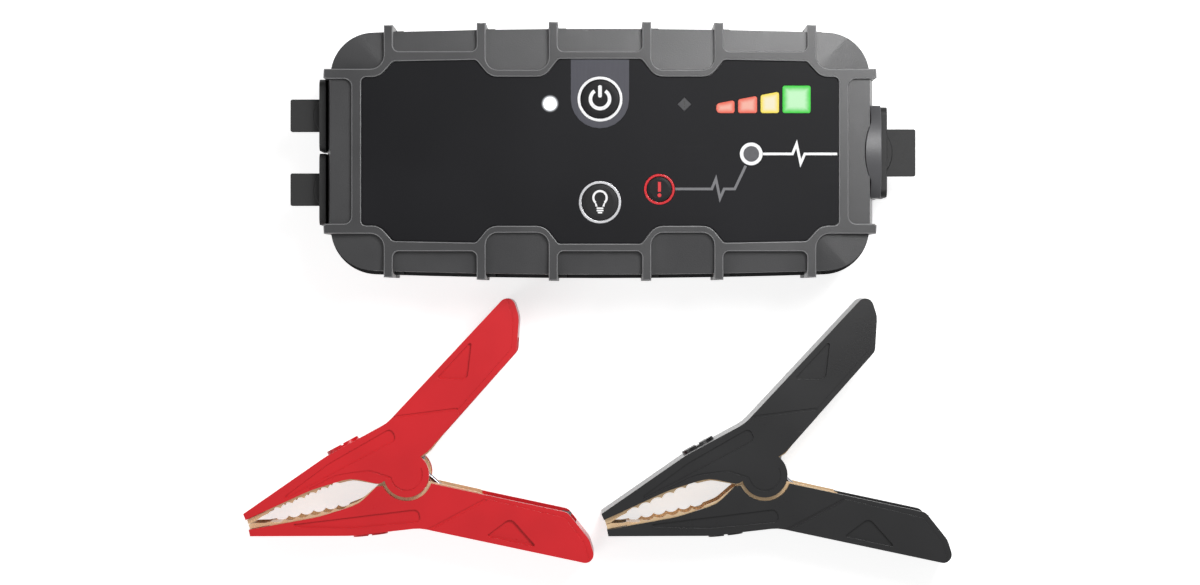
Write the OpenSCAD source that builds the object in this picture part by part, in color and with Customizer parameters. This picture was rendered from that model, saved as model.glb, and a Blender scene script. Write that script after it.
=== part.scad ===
/* [Pack body] */
// Length over the end ribs
pack_l = 170.4; // [165:0.1:200]
// Height over the long ribs, at the middle
pack_h = 79.8; // [76:0.1:100]
// Thickness from the back face to the face frame
pack_t = 43; // [42:0.5:60]
// Radius of the four body corners
corner_r = 15.5; // [14:0.5:17]
// Radius of the slight outward bow of the long edges
bow_r = 2100; // [1500:50:6000]
// Wall of both case halves
case_wall = 2.2; // [1.8:0.1:2.6]
// Thickness of the seal between the case halves
seal_t = 2.4; // [1.6:0.1:3]
// Depth of the seal's outer edge below the ribs
seal_sink = 0.9; // [0.5:0.1:1.5]
// Radius of the four rest pads in the back face
rest_r = 5; // [4:0.5:5.5]
// Thickness of the rest pads
rest_t = 1.2; // [0.8:0.1:1.5]

/* [Ribs and bays] */
// Width of the raised ribs
rib_w = 2.8; // [2.2:0.1:3.4]
// Height of the ribs over the bay walls
rib_h = 2; // [1.6:0.1:2.4]
// Depth of the bays below the face frame
bay_depth = 1.7; // [1:0.1:2]
// Fall of the front bays' floors towards the edges, in degrees
bay_fall = 5; // [2:0.5:6]
// Middle of each deep bay from the middle of the pack
deep_bay_x = 25.5; // [24:0.5:27]
// Width of each deep bay
deep_bay_w = 19.4; // [17:0.1:21]
// Distance from the long edge to the inner end of the deep bays
deep_bay_in = 14.8; // [14:0.1:15.4]
// Middle of the outermost rib from the end of the pack
end_rib_in = 20; // [19:0.1:22]
// Distance from the long edge to the inner end of the long bays
long_bay_in = 9.1; // [8:0.1:9.9]
// Distance from the long edge to the inner end of the corner bays
corner_bay_in = 14.5; // [13.9:0.1:15.4]

/* [Face panel] */
// Distance from the end of the inset panel to the end of the pack
panel_in = 11.8; // [11:0.1:13]
// Distance from the panel's edge to the long edge, at its middle
panel_edge_in = 11.6; // [10.9:0.1:12.4]
// Distance from the panel's edge to the long edge, at its two ends
panel_end_in = 17.2; // [16.4:0.1:17.9]
// Thickness of the panel
panel_t = 1.4; // [1:0.1:2]
// Depth of the panel's top below the face frame
panel_sink = 0.8; // [0.4:0.1:1.2]
// Width of the open channel at each end of the face
channel_w = 6.6; // [5:0.1:7]
// Depth of the channels below the face frame
channel_depth = 1.6; // [1:0.1:2]

/* [Buttons] */
// Radius of the power key
power_r = 6; // [5:0.1:6.4]
// Radius of the lamp key
light_r = 5.6; // [5:0.1:6]
// Radius of the override key
override_r = 3.9; // [3.4:0.1:4.2]
// Width of the rings round the power and lamp keys
ring_w = 0.95; // [0.7:0.05:1.1]
// Width of the ring round the override key
override_ring_w = 0.85; // [0.6:0.05:1]
// Travel of a pressed key
key_travel = 0.5; // [0.3:0.1:0.6]
// Height of the power key's middle on the face
power_y = 16.1; // [15:0.1:17]
// Height of the lamp key's middle on the face
light_y = -15.7; // [-17:0.1:-15]
// Place of the override key along the face
override_x = 18.3; // [17:0.1:20]
// Height of the override key's middle on the face
override_y = -11.7; // [-13:0.1:-10]

/* [Indicators] */
// Distance from the boost light to the panel's right end
boost_in = 26.8; // [25:0.1:29]
// Height of the boost light on the face
boost_y = -0.8; // [-2:0.1:1]
// Outer radius of the boost light's ring
boost_r = 3.5; // [3:0.1:4]
// Distance from the left edge of the charge lights to the panel's right end
charge_in = 37.6; // [36:0.1:39]
// Lower edge of the charge lights
charge_y = 11.8; // [11:0.1:13]
// Length of the row of charge lights
charge_l = 29.1; // [28:0.1:30]
// Gap between two charge lights
charge_gap = 1.1; // [0.8:0.1:1.4]

/* [Ports] */
// Thickness of the rubber port covers
cover_t = 2.1; // [1.6:0.1:2.6]
// Width of each cover on the left end
cover_w = 22.2; // [20:0.1:22.6]
// Height of the covers across the pack's thickness
cover_h = 22; // [20:0.5:24]
// Height of the covers' hinge line over the back face
cover_z = 13.5; // [13:0.1:15]
// Length of the pull tabs
tab_l = 9.3; // [7:0.1:11]
// Width of the pull tabs on the left end
tab_w = 10.1; // [8:0.1:12]
// Width of the pull tab on the right end
dc_tab_w = 14.7; // [12:0.1:16]
// Width of the raised bezel round the outlet on the right end
bezel_w = 28.6; // [27:0.1:30]
// Distance that the bezel stands out of the right end
bezel_out = 2; // [1.5:0.1:3]
// Width of the outlet's recess
dc_recess_w = 20; // [18:0.1:22]
// Height of the outlet's recess
dc_recess_h = 10; // [9:0.1:11]
// Depth of the outlet's recess
dc_recess_d = 14; // [12:0.5:16]
// Radius of the outlet's two contact pins
contact_r = 2; // [1.5:0.1:2.5]

/* [Inside] */
// Length of a battery cell
cell_l = 104; // [90:1:106]
// Width of a battery cell
cell_w = 54; // [45:1:55]
// Thickness of a battery cell
cell_t = 6.8; // [6:0.1:7]
// Thickness of the foam pads round the cells
pad_t = 0.6; // [0.4:0.1:0.8]
// Thickness of the main board
board_t = 1.6; // [1.2:0.2:2]

/* [Clamps] */
// Distance from the pivot to the tip of the jaws
jaw_l = 52.4; // [50:0.1:56]
// Distance from the pivot to the end of the handles, along the jaw line
handle_l = 48.4; // [46:0.1:52]
// Thickness of a clamp
clamp_t = 25; // [23:0.5:28]
// Wall of the plastic lever covers
lever_wall = 2.4; // [2:0.1:2.6]
// Thickness of the jaw plates
plate_t = 1.2; // [1:0.1:1.4]
// Number of jaw teeth on each wall of a plate
tooth_count = 6; // [4:1:6]
// Radius of the pivot pin
pin_r = 2.5; // [2:0.1:2.8]
// Radius of the round ears of the upper lever
ear_r = 7.1; // [6.6:0.1:7.4]
// Radius of the spring wire
wire_r = 0.7; // [0.5:0.05:0.8]
// Number of whole turns of the spring
spring_turns = 6; // [4:1:6]

/* [Layout] */
// Distance from one clamp's pivot to the other's
clamp_pitch = 112; // [112:1:130]
// Gap between the pack and the clamps' handles
clamp_gap = 3; // [2:0.5:20]
// Angle of the jaw line to the pack's long side
clamp_angle = 17.5; // [15:0.5:20]

/* [Fits] */
// Gap round a piece that sits in its seat
seat_gap = 0.15; // [0.1:0.05:0.25]
// Radial clearance of a moving round piece in its hole
run_gap = 0.08; // [0.05:0.01:0.1]
// Gap between flat faces of pieces that move apart
face_gap = 0.1; // [0.05:0.05:0.2]

/* [Hidden] */
$fn = 48;

panel_l = pack_l - 2 * panel_in;
panel_h = pack_h - 2 * panel_edge_in;
panel_end_h = pack_h - 2 * panel_end_in;
deep_bay_y = pack_h / 2 - deep_bay_in;
long_bay_y = pack_h / 2 - long_bay_in;
corner_bay_y = pack_h / 2 - corner_bay_in;
end_rib_x = pack_l / 2 - end_rib_in;
boost_x = panel_l / 2 - boost_in;
charge_x = panel_l / 2 - charge_in;

// Levels across the pack's thickness, from the back face up
mid_z = pack_t / 2;
rear_top_z = mid_z - seal_t / 2;
front_base_z = mid_z + seal_t / 2;
panel_top_z = pack_t - panel_sink;
panel_z = panel_top_z - panel_t;
ceiling_z = pack_t - bay_depth - case_wall;
floor_z = bay_depth + case_wall;
reach = 2 * pack_l;

// Corner centres of the body, where the bow meets the corners without a kink
corner_x = pack_l / 2 - corner_r;
bow_y = pack_h / 2 - bow_r;
corner_y = sqrt(pow(bow_r - corner_r, 2) - pow(corner_x, 2)) + bow_y;
bow_angle = asin(corner_x / (bow_r - corner_r));
cavity_inset = rib_h + case_wall;
end_relief = 0.4;
end_wall_x = pack_l / 2 - end_relief;
channel_x = panel_l / 2 + 3.2;
channel_half = corner_bay_y - rib_w - 0.3;

// Plan helpers -------------------------------------------------------------

function flat(p) = [p[0], p[1]];
function unit(v) = v / norm(v);
function turned(d) = d > 180 ? d - 360 : d < -180 ? d + 360 : d;
function arc(c, r, from, to, n) =
    [for (i = [0:n]) c + r * [cos(from + (to - from) * i / n), sin(from + (to - from) * i / n)]];

// Round of radius b[2] at corner b of an outline, between its neighbours a and c
function corner_round(a, b, c) =
    b[2] == 0 ? [flat(b)] :
    let (ua = unit(flat(a) - flat(b)), uc = unit(flat(c) - flat(b)), half = acos(ua * uc) / 2,
         centre = flat(b) + unit(ua + uc) * b[2] / sin(half),
         first = flat(b) + ua * b[2] / tan(half) - centre,
         last = flat(b) + uc * b[2] / tan(half) - centre,
         start = atan2(first[1], first[0]),
         sweep = turned(atan2(last[1], last[0]) - start))
    arc(centre, b[2], start, start + sweep, max(2, ceil(abs(sweep) / 15)));

// Outline whose corners [x, y, radius] are rounded
function rounded(p) =
    let (n = len(p))
    [for (i = [0:n - 1]) each corner_round(p[(i + n - 1) % n], p[i], p[(i + 1) % n])];

function flip_x(p) = [for (i = [len(p) - 1:-1:0]) [-p[i][0], p[i][1], p[i][2]]];
function flip_y(p) = [for (i = [len(p) - 1:-1:0]) [p[i][0], -p[i][1], p[i][2]]];
function box_corners(w, h, r) =
    [[w / 2, h / 2, r], [-w / 2, h / 2, r], [-w / 2, -h / 2, r], [w / 2, -h / 2, r]];

module slab(from, to) {
    translate([0, 0, from]) linear_extrude(to - from) children();
}

module round_box(w, h, r) {
    polygon(rounded(box_corners(w, h, r)));
}

// Two copies, mirrored across the YZ plane
module both_ends() {
    children();
    mirror([1, 0, 0]) children();
}

module both_edges() {
    children();
    mirror([0, 1, 0]) children();
}

// Turns a plan in Y and Z into a solid along X
module along_x(from, to) {
    translate([from, 0, 0]) rotate([90, 0, 90]) linear_extrude(to - from) children();
}

// Pack body ------------------------------------------------------------------

// Plan of the body, d inside the ribs
module body_plan(d) {
    r = corner_r - d;
    bow = [for (i = [1:7]) (i / 4 - 1) * bow_angle];
    polygon(concat(
        arc([corner_x, corner_y], r, 0, 90 - bow_angle, 16),
        [for (a = bow) [(bow_r - d) * -sin(a), bow_y + (bow_r - d) * cos(a)]],
        arc([-corner_x, corner_y], r, 90 + bow_angle, 180, 16),
        arc([-corner_x, -corner_y], r, 180, 270 - bow_angle, 16),
        [for (a = bow) [(bow_r - d) * sin(a), -bow_y - (bow_r - d) * cos(a)]],
        arc([corner_x, -corner_y], r, 270 + bow_angle, 360, 16)));
}

// Plan of the sunken bays between the ribs, open past the body's edge
module bay_plan() {
    far = pack_l;
    deep_half = deep_bay_w / 2;
    inner_rib_x = deep_bay_x - deep_half - rib_w;
    outer_rib_x = deep_bay_x + deep_half + rib_w;
    both_edges() {
        polygon(rounded([[inner_rib_x, far, 0], [-inner_rib_x, far, 0],
            [-inner_rib_x, long_bay_y, 1.8], [inner_rib_x, long_bay_y, 1.8]]));
        both_ends() {
            polygon(rounded([[deep_bay_x + deep_half, far, 0], [deep_bay_x - deep_half, far, 0],
                [deep_bay_x - deep_half, deep_bay_y, 3.7], [deep_bay_x + deep_half, deep_bay_y, 3.7]]));
            polygon(rounded([[end_rib_x - rib_w / 2, far, 0], [outer_rib_x, far, 0],
                [outer_rib_x, long_bay_y, 1.8], [end_rib_x - rib_w / 2, long_bay_y, 1.8]]));
            polygon(rounded([[far, far, 0], [end_rib_x + rib_w / 2, far, 0],
                [end_rib_x + rib_w / 2, corner_bay_y, 4.2], [far, corner_bay_y, 0]]));
        }
    }
}

// What the front bays lose where their floors fall away towards the edges and the ends
module falling_floors() {
    foot_z = pack_t - bay_depth;
    side_x = end_rib_x + rib_w / 2;
    intersection() {
        slab(front_base_z + 4, pack_t + 1) bay_plan();
        union() {
            both_edges() along_x(-pack_l, pack_l) fall_plan(corner_bay_y, foot_z);
            both_ends() rotate([0, 0, -90]) along_x(-pack_l, pack_l) fall_plan(side_x, foot_z);
        }
    }
}

// Section above a floor that falls away from `from`
module fall_plan(from, foot_z) {
    polygon([[from, foot_z], [pack_l, foot_z - (pack_l - from) * tan(bay_fall)],
        [pack_l, pack_t + 1], [from, pack_t + 1]]);
}

// Plan of what the bays and the ends lose all the way down the sides
module side_relief_plan() {
    difference() {
        bay_plan();
        body_plan(rib_h);
    }
    difference() {
        square([reach, 2 * (corner_bay_y - rib_w)], center = true);
        square([2 * end_wall_x, reach], center = true);
    }
}

// Small lugs beside the ribs, which bridge the side relief next to the seal
module lug_plan() {
    lug_w = 2.6;
    rib_off = deep_bay_w / 2 + rib_w / 2;
    rib_middles = [-end_rib_x, -deep_bay_x - rib_off, -deep_bay_x + rib_off,
        deep_bay_x - rib_off, deep_bay_x + rib_off, end_rib_x];
    intersection() {
        difference() {
            body_plan(seal_sink);
            body_plan(cavity_inset - 0.5);
        }
        for (x = rib_middles) translate([x + rib_w / 2 - 0.1, -pack_h]) square([lug_w, 2 * pack_h]);
    }
}

// One half of the casing from its parting face at z = 0 up to its outer face at z = depth
module case_half(depth) {
    difference() {
        slab(0, depth) body_plan(0);
        slab(-1, depth - bay_depth - case_wall) body_plan(cavity_inset);
        slab(depth - bay_depth, depth + 1) bay_plan();
        slab(-1, depth + 1) side_relief_plan();
    }
    slab(0, 4) lug_plan();
}

screw_x = corner_x + 3.2;
screw_y = corner_y + 6.2;
boss_r = 3.4;
screw_r = 1.5;
head_r = 2.8;
head_t = 1.8;
head_sink = bay_depth + 0.6;
screw_tip_z = front_base_z + 9;

module at_screws() {
    both_edges() both_ends() translate([screw_x, screw_y, 0]) children();
}

// Raised bezel of the outlet, let into the right end wall, grown by g
bezel_lift = 0.6;
bezel_r = mid_z - 1.5 * bezel_lift;
bezel_x = channel_x + channel_w - 1.4;
bezel_flare = 1.8;
bezel_bend_r = 24;

module bezel_plan(g) {
    translate([0, mid_z + bezel_lift]) intersection() {
        circle(r = bezel_r + g, $fn = 96);
        square([bezel_w + 2 * g, pack_t], center = true);
    }
}

module bezel_body(g) {
    along_x(bezel_x + bezel_flare - g, end_wall_x + bezel_out) bezel_plan(g);
    intersection() {
        along_x(bezel_x - g, bezel_x + bezel_flare) bezel_plan(g);
        translate([bezel_x + bezel_bend_r, 0, 0]) slab(0, pack_t) circle(r = bezel_bend_r + g, $fn = 96);
    }
}

port_y = cover_w / 2 + 0.4;
usb_out_size = [13.2, 5.7];
usb_in_size = [8, 3.2];
board_z = cover_z + cover_h / 2 + 4.35;

// Place across, height of the middle and size of the outlet and the inlet for USB
usb_ports = [[port_y, board_z - usb_out_size[1] / 2, usb_out_size],
    [-port_y, board_z - usb_in_size[1] / 2, usb_in_size]];
dc_body_w = dc_recess_w + 4;
dc_body_h = dc_recess_h + 4;

// Openings for the sockets through the end walls
module port_openings() {
    for (p = usb_ports) translate([0, p[0], p[1]])
        along_x(-pack_l, -end_wall_x + cavity_inset + 2)
            square([p[2][0] + 2 * seat_gap, p[2][1] + 2 * seat_gap], center = true);
    bezel_body(seat_gap);
    translate([0, 0, mid_z]) along_x(end_wall_x - cavity_inset - 1, pack_l)
        square([dc_body_w + 2 * seat_gap, dc_body_h + 2 * seat_gap], center = true);
}

anchor_w = 12;
anchor_h = 5;
anchor_depth = 1.2;
dc_cover_w = bezel_w - 0.6;
dc_cover_h = 26.8;
dc_cover_z = mid_z - dc_cover_h / 2;

// Rubber strap that ties a cover to its wall at x = 0, below the hinge line at z = 0
module anchor_block(g) {
    translate([-anchor_depth - g, -anchor_w / 2 - g, -anchor_h - g])
        cube([anchor_depth + cover_t + face_gap + g, anchor_w + 2 * g, anchor_h - face_gap + 2 * g]);
}

// Places a cover's pieces on the end walls, hinge line at the origin and outwards as +X
module at_usb(side) {
    translate([-end_wall_x, side * port_y, cover_z]) mirror([1, 0, 0]) children();
}

module at_dc() {
    translate([end_wall_x + bezel_out, 0, dc_cover_z]) children();
}

module rear_case() color([0.25, 0.25, 0.26]) {
    difference() {
        union() {
            translate([0, 0, rear_top_z]) mirror([0, 0, 1]) case_half(rear_top_z);
            at_screws() slab(floor_z - 0.5, front_base_z - face_gap) circle(r = boss_r);
        }
        port_openings();
        at_rest_pads() slab(-1, rest_t) circle(r = rest_r + seat_gap);
        for (s = [-1, 1]) at_usb(s) anchor_block(seat_gap);
        at_screws() {
            slab(-1, front_base_z) circle(r = screw_r + seat_gap);
            slab(-1, head_sink + head_t) circle(r = head_r + seat_gap);
        }
    }
}

rest_in_x = 35.2;
rest_in_y = 16.9;

module at_rest_pads() {
    both_edges() both_ends() translate([pack_l / 2 - rest_in_x, pack_h / 2 - rest_in_y, 0]) children();
}

// Four round rubber pads, inlaid flush with the back face
module rest_pads() color([0.08, 0.08, 0.085]) {
    at_rest_pads() slab(0, rest_t) circle(r = rest_r);
}

module mid_seal() color([0.07, 0.07, 0.08]) {
    difference() {
        slab(rear_top_z, front_base_z) difference() {
            body_plan(seal_sink);
            body_plan(cavity_inset);
        }
        port_openings();
    }
}

// Lamp window in the middle bay of the upper long edge
lamp_z = front_base_z + 8;
lamp_w = 20;
lamp_h = 8;
lamp_wall_y = pack_h / 2 - rib_h;

module lamp_plan(grow) {
    polygon(rounded(box_corners(lamp_w + 2 * grow, lamp_h + 2 * grow, lamp_h / 2 - 0.1 + grow)));
}

module lamp_slab(from, to, grow) {
    translate([0, to, lamp_z]) rotate([90, 0, 0]) linear_extrude(to - from) lamp_plan(grow);
}

// Open channel and sloped lip at the right end of the face
module end_channel() {
    lip_x = channel_x + channel_w;
    slab(pack_t - channel_depth, pack_t + 1)
        polygon(rounded([[pack_l, channel_half, 0], [channel_x, channel_half, 2.3],
            [channel_x, -channel_half, 2.3], [pack_l, -channel_half, 0]]));
    translate([0, channel_half, 0]) rotate([90, 0, 0]) linear_extrude(2 * channel_half)
        polygon([[lip_x, pack_t - channel_depth], [end_wall_x, mid_z + 8], [pack_l, mid_z + 8],
            [pack_l, pack_t + 1], [lip_x, pack_t + 1]]);
}

module front_case() color([0.42, 0.42, 0.44]) {
    difference() {
        translate([0, 0, front_base_z]) case_half(pack_t - front_base_z);
        slab(panel_z, pack_t + 1) polygon(rounded(panel_corners(seat_gap)));
        both_ends() end_channel();
        falling_floors();
        port_openings();
        face_holes();
        lamp_slab(lamp_wall_y - case_wall - 1, pack_h, seat_gap);
    }
    at_screws() difference() {
        slab(front_base_z, pack_t - bay_depth - case_wall + 0.5) circle(r = boss_r);
        slab(0, screw_tip_z + 1) circle(r = screw_r + run_gap);
    }
}

// Face panel -----------------------------------------------------------------

panel_tip_r = 1.5;
panel_bend_r = 5;
notch_run = 4.2;

// Corners of the inset panel, grown by g on every side
function panel_corners(g) =
    let (half = panel_l / 2 + g, end_y = panel_end_h / 2 + g, top_y = panel_h / 2 + g,
         shoulder_in = end_rib_x - 1.6 + g, shoulder_out = shoulder_in + 4.3,
         notch_y = deep_bay_y - 2.3 + g, notch_half = deep_bay_w / 2 + 3.1 - g,
         upper_right = [[half, end_y, panel_tip_r], [shoulder_out, end_y, panel_bend_r],
            [shoulder_in, top_y - 0.8, panel_tip_r], [deep_bay_x + notch_half, top_y - 0.3, panel_tip_r],
            [deep_bay_x + notch_half - notch_run, notch_y, panel_bend_r],
            [deep_bay_x - notch_half + notch_run, notch_y, panel_bend_r],
            [deep_bay_x - notch_half, top_y, panel_tip_r]],
         upper = concat(upper_right, flip_x(upper_right)))
    concat(upper, flip_y(upper));

// Place, radius and ring width of the power, lamp and override keys
key_places = [[0, power_y, power_r, ring_w], [0, light_y, light_r, ring_w],
    [override_x, override_y, override_r, override_ring_w]];

function ring_out(i) = key_places[i][2] + key_places[i][3];

module at_key(i) {
    translate([key_places[i][0], key_places[i][1], 0]) children();
}

power_lens_place = [-15.4, 14.7];
error_to_charge = 9.8;
error_lens_place = [charge_x - error_to_charge, 14.5];
power_lens_r = 2;
error_lens_r = 2.1;
boost_ring_w = 1.1;

// Plan of charge light i, one slice of a wedge that rises to the right
charge_cuts = [0, 6.2, 13.15, 19.9];
charge_r = 0.7;
charge_low_h = 2.9;
charge_rise = 0.19;
charge_ends = [charge_cuts[1] - charge_gap / 2, charge_cuts[2] - charge_gap / 2,
    charge_cuts[3] - charge_gap / 2, charge_l];

module charge_plan(i, g) {
    from = charge_x + charge_cuts[i] + (i == 0 ? 0 : charge_gap / 2) - g;
    to = charge_x + charge_ends[i] + g;
    low_r = i == 0 ? 1.35 : charge_r;
    last = i == len(charge_cuts) - 1;
    from_y = charge_y + charge_low_h + charge_rise * ((last ? to : from) - charge_x) + g;
    to_y = charge_y + charge_low_h + charge_rise * (to - charge_x) + g;
    polygon(rounded([[to, charge_y - g, charge_r], [to, to_y, charge_r], [from, from_y, low_r],
        [from, charge_y - g, low_r]]));
}

// Holes for keys and light pipes through the seat plate
module face_holes() {
    for (i = [0:2]) at_key(i) slab(ceiling_z - 1, pack_t) circle(r = key_places[i][2] + run_gap);
    slab(ceiling_z - 1, pack_t) lens_plans(seat_gap);
}

module lens_plans(g) {
    for (i = [0:3]) charge_plan(i, g);
    translate([boost_x, boost_y]) circle(r = boost_r - boost_ring_w + g);
    translate(power_lens_place) circle(r = power_lens_r + g);
    translate(error_lens_place) rotate(45) square((error_lens_r + g) * sqrt(2), center = true);
}

tongue_w = 18;
tongue_t = 0.4;
film_gap = 0.02;

// Plan of the inlaid tongue behind the power key
module tongue_plan(g) {
    intersection() {
        polygon(rounded([[tongue_w / 2 + g, pack_h, 0], [-tongue_w / 2 - g, pack_h, 0],
            [-tongue_w / 2 - g, power_y - tongue_w / 2 - g, tongue_w / 2 + g - 0.05],
            [tongue_w / 2 + g, power_y - tongue_w / 2 - g, tongue_w / 2 + g - 0.05]]));
        polygon(rounded(panel_corners(0)));
    }
}

module face_panel() color([0.05, 0.05, 0.055]) {
    difference() {
        slab(panel_z, panel_top_z) polygon(rounded(panel_corners(0)));
        slab(panel_top_z - tongue_t, pack_t) tongue_plan(0);
        for (i = [0:2]) at_key(i) slab(panel_z - 1, pack_t) circle(r = ring_out(i) + 0.05);
        slab(panel_z - 1, pack_t) {
            lens_plans(0.05);
            translate([boost_x, boost_y]) circle(r = boost_r + 0.05);
        }
    }
}

module power_tongue() color([0.34, 0.34, 0.38]) {
    difference() {
        slab(panel_top_z - tongue_t, panel_top_z) tongue_plan(-film_gap);
        at_key(0) slab(0, pack_t) circle(r = ring_out(0) + 0.05);
    }
}

// Raised ring that a key moves in, seated on the front case
module key_ring(i) {
    at_key(i) slab(panel_z, panel_top_z + 0.15) difference() {
        circle(r = ring_out(i), $fn = 72);
        circle(r = key_places[i][2] + run_gap, $fn = 72);
    }
}

module power_ring() color("white") key_ring(0);
module light_ring() color([0.7, 0.7, 0.73]) key_ring(1);
module override_ring() color([0.85, 0.12, 0.14]) key_ring(2);

switch_top_z = ceiling_z - key_travel - 1.6;
key_flange_t = 0.9;
key_proud = 0.25;
dome_h = 0.35;
icon_field = 0.72;

// Height of the flat field in the middle of a key's dome
function dome_r(r) = (r * r + dome_h * dome_h) / (2 * dome_h);
function icon_z(i) =
    let (s = dome_r(key_places[i][2]), w = icon_field * key_places[i][2])
    panel_top_z + key_proud + dome_h - s + sqrt(s * s - w * w);

// Domed key with a flange under the seat plate and a stem over its switch
module key(i) {
    r = key_places[i][2];
    under = ceiling_z - face_gap;
    top = panel_top_z + key_proud;
    sphere_r = dome_r(r);
    swing = asin(r / sphere_r);
    foot_z = switch_top_z + key_travel + face_gap;
    at_key(i) rotate_extrude($fn = 72)
        polygon(concat(
            [[0, foot_z], [1.4, foot_z], [1.4, under - key_flange_t], [r + 0.9, under - key_flange_t],
             [r + 0.9, under], [r, under]],
            arc([0, top + dome_h - sphere_r], sphere_r, 90 - swing, 90 - asin(icon_field * r / sphere_r), 4),
            [[0, icon_z(i)]]));
}

module power_key() color([0.1, 0.1, 0.1]) key(0);
module light_key() color([0.12, 0.12, 0.12]) key(1);
module override_key() color([0.1, 0.1, 0.1]) key(2);

icon_t = 0.12;

// Raised icon on the flat field of key i
module icon_slab(i) {
    at_key(i) slab(icon_z(i), icon_z(i) + icon_t) children();
}

module stroke_arc(r, w, from, to) {
    polygon(concat(arc([0, 0], r + w / 2, from, to, 28), arc([0, 0], r - w / 2, to, from, 28)));
}

module power_icon() color("white") icon_slab(0) {
    stroke_arc(2.95, 1.1, 124, 416);
    translate([0, 2.35]) round_box(1.15, 3.8, 0.5);
}

module light_icon() color("white") icon_slab(1) {
    translate([0, 1.4]) stroke_arc(2.05, 0.65, -48, 228);
    for (s = [-1, 1]) polygon([[s * 1.6, 0.05], [s * 1.1, -0.35], [s * 0.72, -1.35], [s * 1.38, -1.35]]);
    for (y = [-1.85, -2.55, -3.2]) translate([0, y]) round_box(y < -3 ? 1.4 : 2.1, 0.5, 0.2);
}

module override_icon() color([0.85, 0.12, 0.14]) icon_slab(2) {
    translate([0, 0.75]) round_box(0.95, 3, 0.1);
    translate([0, -1.85]) circle(r = 0.6);
}

// Indicators -----------------------------------------------------------------

// Light pipe from below the seat plate to just over the panel
module lens_slab() {
    slab(ceiling_z - 0.4, panel_top_z + 0.05) children();
}

module charge_red_lenses() color([1, 0.35, 0.25]) lens_slab() {
    charge_plan(0, 0);
    charge_plan(1, 0);
}

module charge_yellow_lens() color([1, 0.8, 0.2]) lens_slab() charge_plan(2, 0);
module charge_green_lens() color([0.45, 0.9, 0.3]) lens_slab() charge_plan(3, 0);

module boost_lens() color([0.45, 0.45, 0.47]) translate([boost_x, boost_y])
    lens_slab() circle(r = boost_r - boost_ring_w);

module boost_ring() color("white") translate([boost_x, boost_y])
    slab(panel_z, panel_top_z + 0.1) difference() {
        circle(r = boost_r);
        circle(r = boost_r - boost_ring_w + film_gap);
    }

module power_lens() color("white") translate(power_lens_place) lens_slab() circle(r = power_lens_r);

module error_lens() color([0.35, 0.35, 0.36]) translate(error_lens_place)
    lens_slab() rotate(45) square(error_lens_r * sqrt(2), center = true);

line_w = 0.8;
line_t = 0.08;

// Point i of a path, moved sideways by d with mitred corners
function beside(p, i) = let (run = unit(p[i + 1] - p[i])) [-run[1], run[0]];
function mitred(p, i, d) =
    i == 0 ? p[0] + d * beside(p, 0) :
    i == len(p) - 1 ? p[i] + d * beside(p, i - 1) :
    let (before = beside(p, i - 1), after = beside(p, i), middle = unit(before + after))
    p[i] + d * middle / (middle * before);

// Printed line of width line_w along a path
module printed_line(path) {
    last = len(path) - 1;
    slab(panel_top_z, panel_top_z + line_t)
        polygon(concat([for (i = [0:last]) mitred(path, i, line_w / 2)],
            [for (i = [last:-1:0]) mitred(path, i, -line_w / 2)]));
}

// One short wave of a line, from x at the level y
wave_w = 3.8;
wave_h = 3.1;
function wave_points(x, y) = [[x, y], [x + wave_w / 3, y + wave_h], [x + 2 * wave_w / 3, y - 0.94 * wave_h],
    [x + wave_w, y]];

// White line from the boost light to the right end, with one short wave
module pulse_line() color("white") {
    from = boost_x + boost_r + 0.1;
    printed_line(concat([[from, boost_y]], wave_points(boost_x + 0.474 * boost_in, boost_y),
        [[panel_l / 2 - 0.3, boost_y]]));
}

// Grey line from the override key up to the boost light, with one short wave
module link_line() color([0.42, 0.42, 0.44]) {
    from = override_x + ring_out(2) + 0.1;
    level = override_y + 0.1;
    end = [boost_x, boost_y] + (boost_r + 0.5) * [cos(-115), sin(-115)];
    printed_line(concat([[from, level]], wave_points((override_x + boost_x) / 2 + 2, level),
        [[end[0] - 3.4, level], end]));
}

// Inside -----------------------------------------------------------------------

board_top_z = board_z + board_t;
board_from_x = -end_wall_x + cavity_inset + 1;
board_to_x = screw_x - 15;
board_half = screw_y + 1;
cells_x = -4;
cells_z = floor_z + pad_t + 1;

// Main circuit board, cut back round the corner bosses
module main_board() color([0.1, 0.32, 0.16]) {
    slab(board_z, board_top_z) difference() {
        translate([board_from_x, -board_half]) square([board_to_x - board_from_x, 2 * board_half]);
        both_edges() translate([-pack_l, screw_y - boss_r - 1])
            square([pack_l - screw_x + boss_r + 1, pack_h]);
    }
}

part_rise = switch_top_z - board_top_z;

// Place along the board as a share of its length, place across it, length, width and height of each chip
board_l = board_to_x - board_from_x;
board_chips = [[0.2, 6, 12, 12, 2.2], [0.36, -14, 9, 9, 1.8], [0.14, -14, 8, 14, 4.4], [0.64, 2, 7, 5, 1.6],
    [0.8, 3, 6, 9, 1.8], [0.315, 12, 10, 10, 4.6]];
capacitor_places = [0.075, 0.25, 0.955];

// Chips, coils and capacitors soldered to the board
module board_parts() color([0.15, 0.15, 0.16]) {
    for (c = board_chips) translate([board_from_x + c[0] * board_l, c[1], board_top_z])
        slab(0, c[4]) square([c[2], c[3]], center = true);
    for (share = capacitor_places) translate([board_from_x + share * board_l, -6, board_top_z])
        cylinder(r = 2.5, h = min(5.4, part_rise));
}

// Tall push switch under each key
module key_switches() color([0.12, 0.12, 0.13]) {
    for (i = [0:2]) at_key(i) {
        slab(board_top_z, switch_top_z - 2.4) square(6, center = true);
        slab(switch_top_z - 2.4, switch_top_z) circle(r = 1.7);
    }
}

relay_size = [16, 13];

module relay() color([0.1, 0.14, 0.3]) {
    translate([board_to_x - relay_size[0] / 2 - 2, -20, board_top_z])
        slab(0, part_rise) square(relay_size, center = true);
}

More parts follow.
